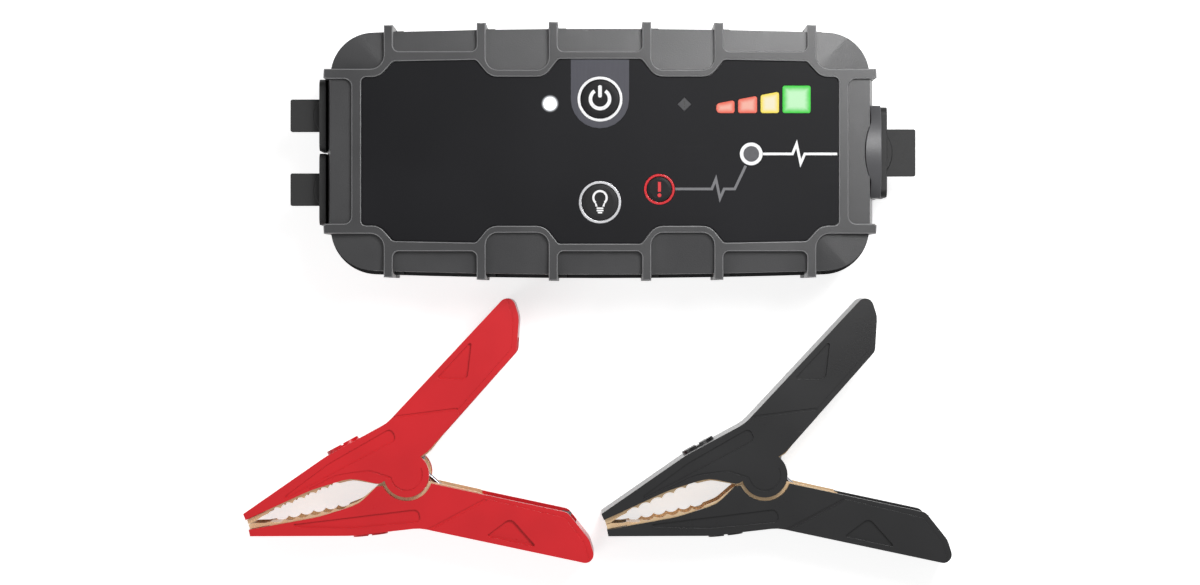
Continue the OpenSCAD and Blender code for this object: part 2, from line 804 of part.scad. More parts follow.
// Three flat cells, stacked with foam between them
module battery_cells() color([0.65, 0.67, 0.7]) {
    for (i = [0:2]) translate([cells_x, 0, cells_z + i * (cell_t + pad_t)])
        slab(0, cell_t) round_box(cell_l, cell_w, 2);
}

module cell_pads() color([0.2, 0.2, 0.2]) {
    for (i = [0:3]) translate([cells_x, 0, cells_z - pad_t + i * (cell_t + pad_t)])
        slab(0, pad_t) square([cell_l - 10, cell_w - 10], center = true);
}

tray_wall = 1.4;

// Open tray that holds the cells off the casing
module cell_tray() color([0.14, 0.14, 0.15]) {
    in_l = cell_l + 2 * face_gap;
    in_w = cell_w + 2 * face_gap;
    difference() {
        translate([cells_x, 0, 0]) slab(floor_z, cells_z + 2 * cell_t)
            square([in_l + 2 * tray_wall, in_w + 2 * tray_wall], center = true);
        translate([cells_x, 0, 0]) slab(cells_z - pad_t, pack_t) square([in_l, in_w], center = true);
    }
}

dc_body_x = end_wall_x + bezel_out - dc_recess_d - 5;
contact_in = 4.5;
contact_sink = 4;
contact_y = dc_recess_w / 2 - contact_in;

// Flat copper bars from the cells to the outlet's contacts
module bus_bars() color([0.8, 0.45, 0.25]) {
    bar_t = 1.2;
    bar_w = 6;
    from = cells_x + cell_l / 2;
    for (s = [-1, 1]) translate([from, s * contact_y - bar_w / 2, mid_z - bar_t / 2])
        cube([dc_body_x - 2 - from, bar_w, bar_t]);
}

// Outlet on the right end --------------------------------------------------------

module dc_bezel() color([0.36, 0.36, 0.38]) {
    difference() {
        bezel_body(0);
        translate([0, 0, mid_z]) along_x(0, pack_l)
            square([dc_body_w + 2 * seat_gap, dc_body_h + 2 * seat_gap], center = true);
        at_dc() anchor_block(seat_gap);
    }
}

// Black socket with its recess and the holes of its two contacts
module dc_socket() color([0.06, 0.06, 0.06]) {
    mouth_x = end_wall_x + bezel_out - face_gap;
    translate([0, 0, mid_z]) difference() {
        along_x(dc_body_x, mouth_x) round_box(dc_body_w, dc_body_h, 1.5);
        along_x(mouth_x - dc_recess_d, pack_l) round_box(dc_recess_w, dc_recess_h, 1);
        for (s = [-1, 1]) translate([0, s * contact_y, 0]) along_x(0, pack_l) circle(r = contact_r);
    }
}

module dc_contacts() color([0.85, 0.65, 0.3]) {
    for (s = [-1, 1]) translate([0, s * contact_y, mid_z])
        along_x(dc_body_x - 2, end_wall_x + bezel_out - contact_sink) circle(r = contact_r);
}

// Flap of a rubber cover, hinge line at the origin, with its pull tab
module cover_flap(w, h, tab_width) {
    tab_t = 2.6;
    tab_z = 0.72 * h;
    root_r = tab_width * 0.62;
    translate([face_gap, 0, h / 2]) along_x(0, cover_t) round_box(w, h, 2.5);
    translate([face_gap + cover_t, 0, tab_z]) {
        translate([0, 0, -tab_t / 2]) slab(0, tab_t)
            polygon(rounded([[-0.1, tab_width / 2, 0], [-0.1, -tab_width / 2, 0],
                [tab_l, -tab_width / 2, 0.6], [tab_l, tab_width / 2, 0.6]]));
        slab(-tab_t / 2 - 0.8, tab_t / 2 + 0.8) intersection() {
            translate([2 - root_r, 0]) circle(r = root_r);
            translate([-0.1, -tab_width / 2]) square([4, tab_width]);
        }
    }
}

module dc_cover() color([0.05, 0.05, 0.05]) at_dc() {
    cover_flap(dc_cover_w, dc_cover_h, dc_tab_w);
    // Shallow rim that plugs the mouth of the recess
    translate([0, 0, dc_cover_h / 2]) along_x(face_gap - 1.6, face_gap + 0.1) difference() {
        round_box(dc_recess_w - 0.4, dc_recess_h - 1.4, 1);
        round_box(dc_recess_w - 3.4, dc_recess_h - 4, 0.6);
    }
}

// Sockets on the left end ----------------------------------------------------------

shell_t = 0.4;
usb_depth = 13;

// Sheet-metal tube of port p
module usb_shell(p) {
    translate([0, p[0], p[1]]) along_x(-end_wall_x + face_gap, -end_wall_x + usb_depth) difference() {
        square(p[2], center = true);
        square([p[2][0] - 2 * shell_t, p[2][1] - 2 * shell_t], center = true);
    }
}

module usb_out_shell() color([0.75, 0.76, 0.78]) usb_shell(usb_ports[0]);
module usb_in_shell() color([0.75, 0.76, 0.78]) usb_shell(usb_ports[1]);

// Insulating tongues and backs inside both sockets
module usb_tongues() color([0.9, 0.9, 0.88]) {
    for (p = usb_ports) translate([0, p[0], p[1]]) {
        w = p[2][0] - 2 * shell_t;
        h = p[2][1] - 2 * shell_t;
        along_x(-end_wall_x + usb_depth - 2, -end_wall_x + usb_depth) square([w, h], center = true);
        translate([0, 0, h / 6]) along_x(-end_wall_x + 1, -end_wall_x + usb_depth - 1)
            square([w - 2, h / 3], center = true);
    }
}

module usb_out_cover() color([0.05, 0.05, 0.05]) at_usb(1) cover_flap(cover_w, cover_h, tab_w);
module usb_in_cover() color([0.05, 0.05, 0.05]) at_usb(-1) cover_flap(cover_w, cover_h, tab_w);

module cover_anchors() color([0.05, 0.05, 0.05]) {
    for (s = [-1, 1]) at_usb(s) anchor_block(0);
    at_dc() anchor_block(0);
}

// Lamp and screws --------------------------------------------------------------------

module lamp_window() color([0.9, 0.93, 0.95]) {
    lamp_slab(lamp_wall_y - 1.6, lamp_wall_y - 0.2, 0);
}

// Bright housing with two cups behind the window
module lamp_reflector() color([0.8, 0.8, 0.82]) {
    back_y = lamp_wall_y - case_wall - 3;
    difference() {
        lamp_slab(back_y, lamp_wall_y - 1.6, 0);
        for (s = [-1, 1]) translate([s * lamp_w / 4, lamp_wall_y - 1.5, lamp_z])
            rotate([90, 0, 0]) cylinder(r1 = 3.2, r2 = 1.4, h = 3);
    }
}

module case_screws() color([0.3, 0.3, 0.32]) {
    at_screws() difference() {
        union() {
            slab(head_sink, head_sink + head_t) circle(r = head_r);
            slab(head_sink + head_t - 0.1, screw_tip_z) circle(r = screw_r);
        }
        slab(head_sink - 1, head_sink + 1) circle(r = 1.1, $fn = 6);
    }
}

// Clamps -------------------------------------------------------------------------------
// Each clamp lies on its side. Its plans have u along the jaw line towards the handles,
// v across it and the pivot at the origin, and are mirrored across v for the lower lever.

jaw_hump = [-0.42 * jaw_l, 13.1];
jaw_waist = [-1.1, 17.15];
tip_v = 3.65;
heel_v = 45.1;
nose_u = -jaw_l + 6.4;
palate_u = -0.573 * jaw_l;
throat_u = -0.324 * jaw_l;
handle_in_u = handle_l - 2.4;

spine_line = [[-jaw_l, tip_v], jaw_hump, jaw_waist, [handle_l, heel_v]];

// Point of the spine at u, sunk by d
function spine(u, d) = [u, lookup(u, spine_line) - 1.15 * d];
function rounded_spine(u, d, r) = concat(spine(u, d), [r]);

upper_inside = [[-9, -0.3, 3], [8.6, 4.9, 4]];
lower_inside = [[-10, 0.7, 1], [5.8, 4.5, 0]];

// Outline of a lever's cover, with its inner edge between jaw and handle
function cover_corners(inside) = concat(
    [[-jaw_l + 0.2, 1.6, 0], [palate_u, 4.4, 40], [throat_u, 4.3, 10]], inside,
    [[handle_l - 3.9, 26.4, 3], [handle_l, 36.6, 6], [handle_l, heel_v, 2.6],
     concat(jaw_waist, [12]), concat(jaw_hump, [30]), [-jaw_l, tip_v, 0]]);

scoop_r = ear_r + 1.1;
plate_ear_r = ear_r - 0.2;
plate_scoop_r = ear_r + 0.1;

module cover_plan(is_upper) {
    if (is_upper) {
        polygon(rounded(cover_corners(upper_inside)));
        circle(r = ear_r, $fn = 72);
    } else difference() {
        polygon(rounded(cover_corners(lower_inside)));
        circle(r = scoop_r, $fn = 72);
    }
}

// Hollow between the side walls, open towards the other lever
module core_plan() {
    polygon([[nose_u, -handle_l], [nose_u, spine(nose_u, lever_wall)[1]], spine(jaw_hump[0], lever_wall),
        spine(jaw_waist[0], lever_wall), spine(handle_in_u, lever_wall), [handle_in_u, -handle_l]]);
}

// Both side faces of a clamp, as the same cut of a given depth
module at_sides(depth) {
    slab(-1, depth) children();
    slab(clamp_t - depth, clamp_t + 1) children();
}

groove_depth = 0.8;
strip_depth = 0.5;
window_depth = 1.2;
contour_depth = 0.3;

// Groove under the jaw's spine, widening towards the pivot
module groove_plan() {
    groove_u = -0.73 * jaw_l;
    polygon(rounded([rounded_spine(groove_u, 2.6, 0), rounded_spine(jaw_hump[0], 2.1, 12),
        rounded_spine(0, 2, 1.6), rounded_spine(0.4, 5.8, 1.8), rounded_spine(jaw_hump[0] + 7, 5.2, 8),
        rounded_spine(groove_u, 3.4, 0)]));
}

// Strip inside the grip pad, along the handle's inner edge and round its end
module strip_plan() {
    polygon(rounded([[21.3, 8, 0], [21.3, 14.6, 1], [43.2, 27.8, 2], [handle_l - 2, 36.8, 4],
        [handle_l - 2, heel_v + 3, 0], [handle_l + 2, heel_v + 3, 0], [handle_l + 2, 8, 0]]));
}

// Slanting groove where the grip pad begins, from the spine to the strip
module pad_end_plan() {
    polygon([[-1, 18.5], [21.5, 14.4], [21.5, 15.2], [-1, 19.3]]);
}

// Fine line along the jaw's inner edge and round the ear
module contour_plan() {
    contour_w = 0.35;
    line_r = ear_r - 2.2;
    polygon(rounded([[-0.58 * jaw_l, 5, 0], [-0.4 * jaw_l, 6.7, 14], [-10.5, 4.9, 6], [-line_r, 0.9, 0],
        [-line_r, 0.2, 0], [-10.7, 4.5, 6], [-0.4 * jaw_l, 6.3, 14], [-0.58 * jaw_l, 4.7, 0]]));
    difference() {
        circle(r = line_r + contour_w / 2);
        circle(r = line_r - contour_w / 2);
        translate([-2 * ear_r, 0.6]) square([4 * ear_r, 2 * ear_r]);
    }
}

// Sunken triangle near the middle of the grip pad
module window_plan() {
    polygon(rounded([[17.8, 25.8, 0.5], [27.1, 22.6, 2], [32.2, 34, 0.5]]));
}

module lever_cover(is_upper) {
    difference() {
        slab(0, clamp_t) cover_plan(is_upper);
        slab(lever_wall, clamp_t - lever_wall) core_plan();
        at_sides(groove_depth) groove_plan();
        at_sides(strip_depth) {
            strip_plan();
            pad_end_plan();
        }
        at_sides(window_depth) window_plan();
        if (is_upper) {
            slab(1, clamp_t - 1) circle(r = pin_r + run_gap);
            at_sides(contour_depth) contour_plan();
        }
    }
    // Oval boss with a crossed slot on the jaw's spine
    translate(jaw_hump + [5, 1.1]) rotate(11) difference() {
        translate([0, 0.9, clamp_t / 2]) rotate([90, 0, 0]) slab(0, 2) round_box(11, 8, 3.9);
        translate([-6, 0.5, clamp_t / 2 - 0.6]) cube([12, 1, 1.2]);
        translate([-0.6, 0.5, 0]) cube([1.2, 1, clamp_t]);
    }
}

wall_gap = 0.2;
plate_from = lever_wall + wall_gap;
plate_to = clamp_t - plate_from;
bite_u = -0.853 * jaw_l;
tooth_pitch = jaw_l / 13.1;
bite_l = tooth_count * tooth_pitch;
bite_v = 1.4;
bite_slope = 0.0945;
bite_depth = 0.9;
bite_r = (pow(tooth_pitch / 2, 2) + pow(bite_depth, 2)) / (2 * bite_depth);
web_from_u = nose_u + 0.2;
web_to_u = -6;

// Side wall of a jaw plate: scalloped teeth, then past the cover's inner edge to the handle
module plate_plan(is_upper) {
    inside = is_upper ? [[-9.1, -0.5, 3], [8.3, 4.3, 2]] : [[-10, 0.6, 0.6], [5.6, 3.9, 0]];
    sunk = lever_wall + seat_gap;
    difference() {
        union() {
            polygon(rounded(concat(
                [[-jaw_l + 0.4, face_gap, 0], [-jaw_l + 2, face_gap, 0], [-jaw_l + 5.4, 1.1, 1],
                 [bite_u, bite_v, 0], [bite_u + bite_l, bite_v + bite_l * bite_slope, 1],
                 [throat_u + 0.4, 3.4, 6]],
                inside,
                [[20, 12.2, 0], rounded_spine(20, sunk, 0), rounded_spine(jaw_waist[0], sunk, 0),
                 rounded_spine(jaw_hump[0], sunk, 0), rounded_spine(web_from_u, sunk, 0),
                 [web_from_u, 2.2, 0], [-jaw_l + 0.4, 1.5, 0]])));
            if (is_upper) circle(r = plate_ear_r, $fn = 72);
        }
        for (i = [0:tooth_count - 1])
            translate([bite_u + (i + 0.5) * tooth_pitch,
                bite_v + (i + 0.5) * tooth_pitch * bite_slope + bite_depth - bite_r]) circle(r = bite_r);
        circle(r = is_upper ? pin_r + run_gap : plate_scoop_r, $fn = 72);
    }
}

inner_ear_r = 6;
pad_u = throat_u - 1;

// Inner ear of the lower plate and its pad beside the wall
module ear_pad_plan() {
    polygon([[pad_u, 4.6], [-11, 1.6], [-9.5, 5], [-9, 11], [pad_u, 9]]);
}

module inner_ear_plan() {
    difference() {
        union() {
            polygon([[pad_u, 4.6], [-11, 1.6], [-3, -5.2], [4, 4.5], [-9, 11], [pad_u, 9]]);
            circle(r = inner_ear_r);
        }
        circle(r = pin_r + run_gap);
    }
}

module jaw_plate(is_upper) {
    sunk = lever_wall + seat_gap;
    ear_from = plate_from + plate_t + 0.3;
    slab(plate_from, plate_from + plate_t) plate_plan(is_upper);
    slab(plate_to - plate_t, plate_to) plate_plan(is_upper);
    slab(plate_from + plate_t - 0.1, plate_to - plate_t + 0.1) {
        polygon([spine(web_from_u, sunk), spine(jaw_hump[0], sunk), spine(web_to_u, sunk),
            spine(web_to_u, sunk + plate_t), spine(jaw_hump[0], sunk + plate_t),
            spine(web_from_u, sunk + plate_t)]);
        translate([-jaw_l + 0.4, face_gap]) square([plate_t, 1.5 - face_gap]);
    }
    if (!is_upper) for (side = [0, 1])
        translate([0, 0, side * clamp_t]) mirror([0, 0, side]) {
            slab(plate_from + plate_t - 0.1, ear_from + 0.1) ear_pad_plan();
            slab(ear_from, ear_from + plate_t) inner_ear_plan();
        }
}

module pivot_pin() {
    slab(1 + face_gap / 2, clamp_t - 1 - face_gap / 2) circle(r = pin_r);
}

spring_r = 3.6;
spring_from = 6.5;
spring_rise = clamp_t - 2 * spring_from;
spring_turn = 360 * spring_turns - 60;
ring_steps = 8 * spring_turns;
leg_l = 29;

// Centre line of the spring: a straight leg, the coil, and the other leg
function spring_point(i) =
    let (a = 30 + spring_turn * i / ring_steps, z = spring_from + spring_rise * i / ring_steps)
    [spring_r * cos(a), spring_r * sin(a), z];
function leg_end(p, a) = p + leg_l * [cos(a), sin(a), 0];
spring_coil = [for (i = [0:ring_steps]) spring_point(i)];
spring_path = concat([leg_end(spring_coil[0], -60)], spring_coil, [leg_end(spring_coil[ring_steps], 60)]);

function spring_tangent(i) =
    unit(spring_path[min(i + 1, len(spring_path) - 1)] - spring_path[max(i - 1, 0)]);

// Ring of six points round point i of the path, square to it
function wire_ring(i) =
    let (t = spring_tangent(i), side = unit(cross([0, 0, 1], t)), up = cross(t, side))
    [for (k = [0:5]) spring_path[i] + wire_r * (cos(60 * k) * side + sin(60 * k) * up)];

spring_gap = min([for (i = [0:ring_steps - 8]) for (j = [i + 4:ring_steps])
    norm(spring_coil[i] - spring_coil[j])]) - 2 * wire_r;
echo("least gap between the spring's turns", spring_gap);

module spring() {
    n = len(spring_path);
    rings = [for (i = [0:n - 1]) each wire_ring(i)];
    sides = [for (i = [0:n - 2]) for (k = [0:5])
        [6 * i + k, 6 * i + (k + 1) % 6, 6 * (i + 1) + (k + 1) % 6, 6 * (i + 1) + k]];
    polyhedron(points = rings, convexity = 4, faces = concat([[5, 4, 3, 2, 1, 0]], sides,
        [[for (k = [0:5]) 6 * (n - 1) + k]]));
}

gland_l = 3;
cable_r = 3.4;

// Rubber gland in the end of the lower handle, bored for the cable
module cable_gland() {
    angle = atan2(heel_v - jaw_waist[1], handle_l - jaw_waist[0]);
    height = 11;
    translate(spine(handle_in_u - height * sin(angle) - 0.8, lever_wall + seat_gap)) rotate(angle)
        translate([-gland_l, -height, 0]) difference() {
            slab(plate_from, plate_to) square([gland_l, height]);
            translate([-1, height / 2, clamp_t / 2]) along_x(0, gland_l + 2) circle(r = cable_r);
        }
}

handles_top = handle_l * sin(clamp_angle) + heel_v * cos(clamp_angle);
pivot_y = -pack_h / 2 - clamp_gap - handles_top;
red_x = -60.5;

module at_clamp(i) {
    translate([red_x + i * clamp_pitch, pivot_y, 0]) rotate(clamp_angle) children();
}

module lower_half() {
    mirror([0, 1, 0]) children();
}

module red() color([0.8, 0.08, 0.1]) children();
module black() color([0.09, 0.09, 0.1]) children();
module gold() color([0.93, 0.75, 0.5]) children();
module steel() color([0.7, 0.7, 0.72]) children();
module dark_rubber() color([0.06, 0.06, 0.06]) children();

module red_lower_cover() red() at_clamp(0) lower_half() lever_cover(false);
module red_lower_plate() gold() at_clamp(0) lower_half() jaw_plate(false);
module red_upper_cover() red() at_clamp(0) lever_cover(true);
module red_upper_plate() gold() at_clamp(0) jaw_plate(true);
module red_pivot_pin() steel() at_clamp(0) pivot_pin();
module red_spring() steel() at_clamp(0) spring();
module red_cable_gland() dark_rubber() at_clamp(0) lower_half() cable_gland();
module black_lower_cover() black() at_clamp(1) lower_half() lever_cover(false);
module black_lower_plate() gold() at_clamp(1) lower_half() jaw_plate(false);
module black_upper_cover() black() at_clamp(1) lever_cover(true);
module black_upper_plate() gold() at_clamp(1) jaw_plate(true);
module black_pivot_pin() steel() at_clamp(1) pivot_pin();
module black_spring() steel() at_clamp(1) spring();
module black_cable_gland() dark_rubber() at_clamp(1) lower_half() cable_gland();

rear_case();
rest_pads();
mid_seal();
front_case();
face_panel();
power_tongue();
power_key();
power_icon();
power_ring();
light_key();
light_icon();
light_ring();
override_key();
override_icon();
override_ring();
charge_red_lenses();
charge_yellow_lens();
charge_green_lens();
boost_lens();
boost_ring();
power_lens();
error_lens();
pulse_line();
link_line();
main_board();
board_parts();
key_switches();
relay();
battery_cells();
cell_pads();
cell_tray();
bus_bars();
dc_bezel();
dc_socket();
dc_contacts();
dc_cover();
usb_out_shell();
usb_out_cover();
usb_in_shell();
usb_in_cover();
usb_tongues();
cover_anchors();
lamp_window();
lamp_reflector();
case_screws();
red_lower_cover();
red_lower_plate();
red_upper_cover();
red_upper_plate();
red_pivot_pin();
red_spring();
red_cable_gland();
black_lower_cover();
black_lower_plate();
black_upper_cover();
black_upper_plate();
black_pivot_pin();
black_spring();
black_cable_gland();
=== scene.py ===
import math

import bmesh
import bpy
import numpy as np
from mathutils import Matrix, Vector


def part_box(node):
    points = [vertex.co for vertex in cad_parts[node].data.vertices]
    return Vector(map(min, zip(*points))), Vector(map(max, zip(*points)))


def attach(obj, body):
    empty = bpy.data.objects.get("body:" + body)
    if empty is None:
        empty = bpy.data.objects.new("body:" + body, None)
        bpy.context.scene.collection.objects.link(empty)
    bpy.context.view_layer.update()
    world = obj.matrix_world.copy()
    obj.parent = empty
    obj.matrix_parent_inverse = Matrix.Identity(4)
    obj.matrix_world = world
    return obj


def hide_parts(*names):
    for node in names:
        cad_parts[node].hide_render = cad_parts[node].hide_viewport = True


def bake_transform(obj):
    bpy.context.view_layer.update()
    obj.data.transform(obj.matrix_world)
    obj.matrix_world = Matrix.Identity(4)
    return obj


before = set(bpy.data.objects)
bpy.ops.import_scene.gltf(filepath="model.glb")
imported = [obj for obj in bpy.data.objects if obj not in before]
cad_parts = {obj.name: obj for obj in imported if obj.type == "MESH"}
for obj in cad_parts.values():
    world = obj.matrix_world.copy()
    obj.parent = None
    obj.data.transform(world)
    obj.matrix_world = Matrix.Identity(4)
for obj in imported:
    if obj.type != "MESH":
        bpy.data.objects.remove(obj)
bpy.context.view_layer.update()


# ---- Rear half of the casing ----
# A deep tray injection-moulded in dark grey glass-filled nylon, with ribs and sunken bays
# all round its edge. Its outside has the fine spark-eroded grain of the mould.

class Value:
    """A number or colour that varies over a surface; arithmetic on it adds Math nodes."""

    def __init__(self, finish, socket):
        self.finish, self.socket = finish, socket

    def math(self, operation, first, second):
        return self.finish.add("ShaderNodeMath", {"operation": operation}, {0: first, 1: second})

    def __add__(self, other): return self.math("ADD", self, other)
    def __radd__(self, other): return self.math("ADD", other, self)
    def __sub__(self, other): return self.math("SUBTRACT", self, other)
    def __rsub__(self, other): return self.math("SUBTRACT", other, self)
    def __mul__(self, other): return self.math("MULTIPLY", self, other)
    def __rmul__(self, other): return self.math("MULTIPLY", other, self)
    def __pow__(self, other): return self.math("POWER", self, other)

    def least(self, other): return self.math("MINIMUM", self, other)
    def most(self, other): return self.math("MAXIMUM", self, other)

    def clamped(self):
        return self.finish.add("ShaderNodeClamp", {}, {"Value": self})

    def between(self, low, high):
        """0 below low, 1 above high and a smooth step between them."""
        return self.finish.add("ShaderNodeMapRange", {"interpolation_type": "SMOOTHSTEP"},
                               {"Value": self, "From Min": low, "From Max": high})


class Finish:
    """One surface finish: a Principled shader whose sockets are given as numbers or Values."""

    def __init__(self, name):
        self.material = bpy.data.materials.new(name)
        self.material.use_nodes = True
        self.tree = self.material.node_tree
        self.shader = self.tree.nodes["Principled BSDF"]

    def add(self, kind, settings, inputs, out=0):
        """Adds a node, sets its settings first and then its sockets, and gives one output."""
        node = self.tree.nodes.new(kind)
        for key, setting in settings.items():
            setattr(node, key, setting)
        for key, given in inputs.items():
            if isinstance(given, Value):
                self.tree.links.new(given.socket, node.inputs[key])
            else:
                node.inputs[key].default_value = given
        return Value(self, node.outputs[out])

    def place(self):
        return self.add("ShaderNodeTexCoord", {}, {}, "Object")

    def along(self, axis):
        """How far along X, Y or Z (0, 1 or 2) the place is, in metres."""
        return self.add("ShaderNodeSeparateXYZ", {}, {"Vector": self.place()}, axis)

    def ray(self, kind):
        """1 for one kind of ray, such as Camera or Glossy, and 0 for the others."""
        return self.add("ShaderNodeLightPath", {}, {}, f"Is {kind} Ray")

    def noise(self, size, detail=2.0, stretch=(1, 1, 1)):
        """Soft noise with lumps of about `size` metres, stretched along the axes."""
        where = self.add("ShaderNodeMapping", {}, {"Vector": self.place(), "Scale": stretch})
        return self.add("ShaderNodeTexNoise", {},
                        {"Vector": where, "Scale": 1 / size, "Detail": detail, "Roughness": 0.5})

    def blend(self, factor, low, high):
        """Colour that goes from low to high with factor."""
        low, high = [c if isinstance(c, Value) else (*c, 1) for c in (low, high)]
        return self.add("ShaderNodeMix", {"data_type": "RGBA"}, {0: factor, 6: low, 7: high}, 2)

    def bump(self, height, depth):
        """Normal of a relief that is `depth` metres deep."""
        return self.add("ShaderNodeBump", {}, {"Height": height, "Distance": depth, "Strength": 1.0})

    def coat(self, **sockets):
        """Sets the shader's sockets: Base_Color=... stands for Base Color, and so on."""
        for key, given in sockets.items():
            socket = self.shader.inputs[key.replace("_", " ")]
            if isinstance(given, Value):
                self.tree.links.new(given.socket, socket)
            elif isinstance(given, tuple):
                socket.default_value = (*given, 1)
            else:
                socket.default_value = given
        return self.material


def tinted(colour, times, plus=0.0):
    """Each part of the colour times `times`, plus `plus`, and at most 1."""
    return tuple(min(1.0, c * times + plus) for c in colour)


def moulded(name, colour, rough, grain, depth, variety=0.08):
    """Moulded plastic: bumps of the size of its grain, slow changes of gloss, faint rub marks."""
    f = Finish(name)
    fine = f.noise(grain, 2.0)
    slow = f.noise(0.03, 3.0)
    rub = f.noise(0.006, 4.0, (1, 0.35, 1)).between(0.56, 0.78)
    tint = f.blend(slow.between(0.35, 0.65) * 0.7 + fine * 0.3,
                   tinted(colour, 1 - variety), tinted(colour, 1 + variety, 0.012))
    uneven = (slow - 0.5) * 0.16 - rub * 0.06 + (fine - 0.5) * 0.08
    return f.coat(Base_Color=f.blend(rub * 0.22, tint, tinted(colour, 1.25, 0.02)),
                  Roughness=(rough + uneven).clamped(), Normal=f.bump(fine, depth))


def shown(name, data):
    """New object in the scene that shows a mesh, or carries a lamp or a camera."""
    thing = bpy.data.objects.new(name, data)
    bpy.context.scene.collection.objects.link(thing)
    return thing


def finished(node, material):
    """Gives a solid that is shown as it is its material."""
    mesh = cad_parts[node].data
    mesh.materials.clear()
    mesh.materials.append(material)


def eased(node, body, width, material, name, steps=2, painted_highlight=None, above=None):
    """The solid's own surface, its corners merged and its sharp edges rounded off by `width`
    metres, or by less over the whole piece if two of them lie close together. If `above` is
    given, the edges higher than that are rounded by all of `width` and the rest stay sharp.
    The rounded ones may have a second finish, which carries a painted highlight."""
    same_place, same_plane, sharp_from = 2e-6, math.radians(0.6), math.radians(32)
    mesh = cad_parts[node].data.copy()
    mesh.name = name
    bm = bmesh.new()
    bm.from_mesh(mesh)
    bmesh.ops.remove_doubles(bm, verts=bm.verts, dist=same_place)
    bmesh.ops.dissolve_limit(bm, angle_limit=same_plane, verts=bm.verts, edges=bm.edges)
    if above:
        weight = bm.edges.layers.float.new("bevel_weight_edge")
        for line in bm.edges:
            sharp = line.calc_face_angle(0) > sharp_from
            rounded = sharp and min(end.co.z for end in line.verts) > above
            line[weight], line.smooth = float(rounded), rounded or not sharp
    bm.to_mesh(mesh)
    bm.free()
    mesh.shade_smooth()
    mesh.materials.clear()
    mesh.materials.append(material)
    piece = shown(name, mesh)
    edge = piece.modifiers.new("edges", "BEVEL")
    edge.width, edge.segments, edge.angle_limit = width, steps, sharp_from
    edge.limit_method = "WEIGHT" if above else "ANGLE"
    edge.use_clamp_overlap = not above
    edge.harden_normals = True
    # The rounded edges take the second finish, whose lighter colour is a painted highlight.
    if painted_highlight:
        mesh.materials.append(painted_highlight)
        edge.material = 1
    flat = piece.modifiers.new("flat_faces", "WEIGHTED_NORMAL")
    flat.mode, flat.weight, flat.keep_sharp = "FACE_AREA", 100, True
    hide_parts(node)
    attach(piece, body)
    return piece


rear_plastic = moulded("rear_casing_plastic", (0.055, 0.055, 0.058), 0.55, 0.0004, 0.00004)
eased("rear_case", "pack", 0.00035, rear_plastic, "rear_casing_tray")


# ---- Front half of the casing ----
# A shallower shell of the same plastic, screwed down on the rear half. The upper edges of its
# ribs and of its frame are rounded, with a painted highlight, a lighter colour, along each.

def highlighted_edge(name, colour, painted_highlight, top, grain):
    """Rounded edge: a painted highlight in the lighter colour given, and smoother, up to `top`, and
    `colour` from 0.7 mm below it down, with the painted highlight weaker in soft patches."""
    f = Finish(name)
    patch = f.noise(0.004, 3.0)
    # Painted highlight: the lighter colour covers the top of each rounded edge and fades out 0.4 to 0.7
    # mm below `top`.
    highlight_mask = f.along(2).between(top - 0.0007, top - 0.0004) * (0.7 + patch * 0.6).least(1.0)
    return f.coat(Base_Color=f.blend(highlight_mask, colour, painted_highlight),
                  Roughness=(0.42 - highlight_mask * 0.12).clamped(), Normal=f.bump(f.noise(grain, 2.0), 0.00001))


front_grey, front_grain, front_top = (0.037, 0.037, 0.039), 0.00038, 0.043
front_plastic = moulded("front_casing_plastic", front_grey, 0.37, front_grain, 0.00003, 0.06)
# Edge finish whose lighter colour is a painted highlight along the rib and frame edges.
front_edge_highlight = highlighted_edge("front_casing_edge_highlight", front_grey, (0.2, 0.2, 0.205), front_top, front_grain)
eased("front_case", "pack", 0.0003, front_plastic, "front_casing_shell", 3, front_edge_highlight,
              above=front_top - 0.0002)


# ---- Seal between the halves ----
# A soft black ring of silicone rubber, pressed into the joint all round. It has a matt,
# slightly dusty skin.

def rubber(name, colour, rough=0.72, dust=0.2):
    """Rubber: fine matt skin with dust that gathers in soft patches."""
    f = Finish(name)
    skin = f.noise(0.0005, 3.0)
    patch = f.noise(0.012, 4.0).between(0.45, 0.75)
    return f.coat(Base_Color=f.blend(patch * dust, colour, tinted(colour, 0.7, 0.055)),
                  Roughness=(rough + patch * 0.12 + (skin - 0.5) * 0.1).clamped(),
                  Normal=f.bump(skin, 0.00003))


finished("mid_seal", rubber("seal_rubber", (0.012, 0.012, 0.013)))


# ---- Rest pads ----
# Four round pads of soft black rubber, glued flush into shallow pockets in the back, so that
# the pack doesn't slide on a smooth surface. Their rims are rounded.

pad_rubber = rubber("rest_pad_rubber", (0.016, 0.016, 0.017), 0.8, 0.3)
eased("rest_pads", "pack", 0.0002, pad_rubber, "rest_pad_discs", 3)


# ---- Face panel and tongue ----
# A sheet of matt black polycarbonate, stuck into the frame of the front half. A violet-grey
# tongue of satin film runs from its upper edge round the power key.

power_light = (-0.0154, 0.0147)


def off_middle(f, middle):
    """Distance across the face from a round light's middle: the root of the sum of squares."""
    x, y = f.along(0) - middle[0], f.along(1) - middle[1]
    return (x * x + y * y) ** 0.5


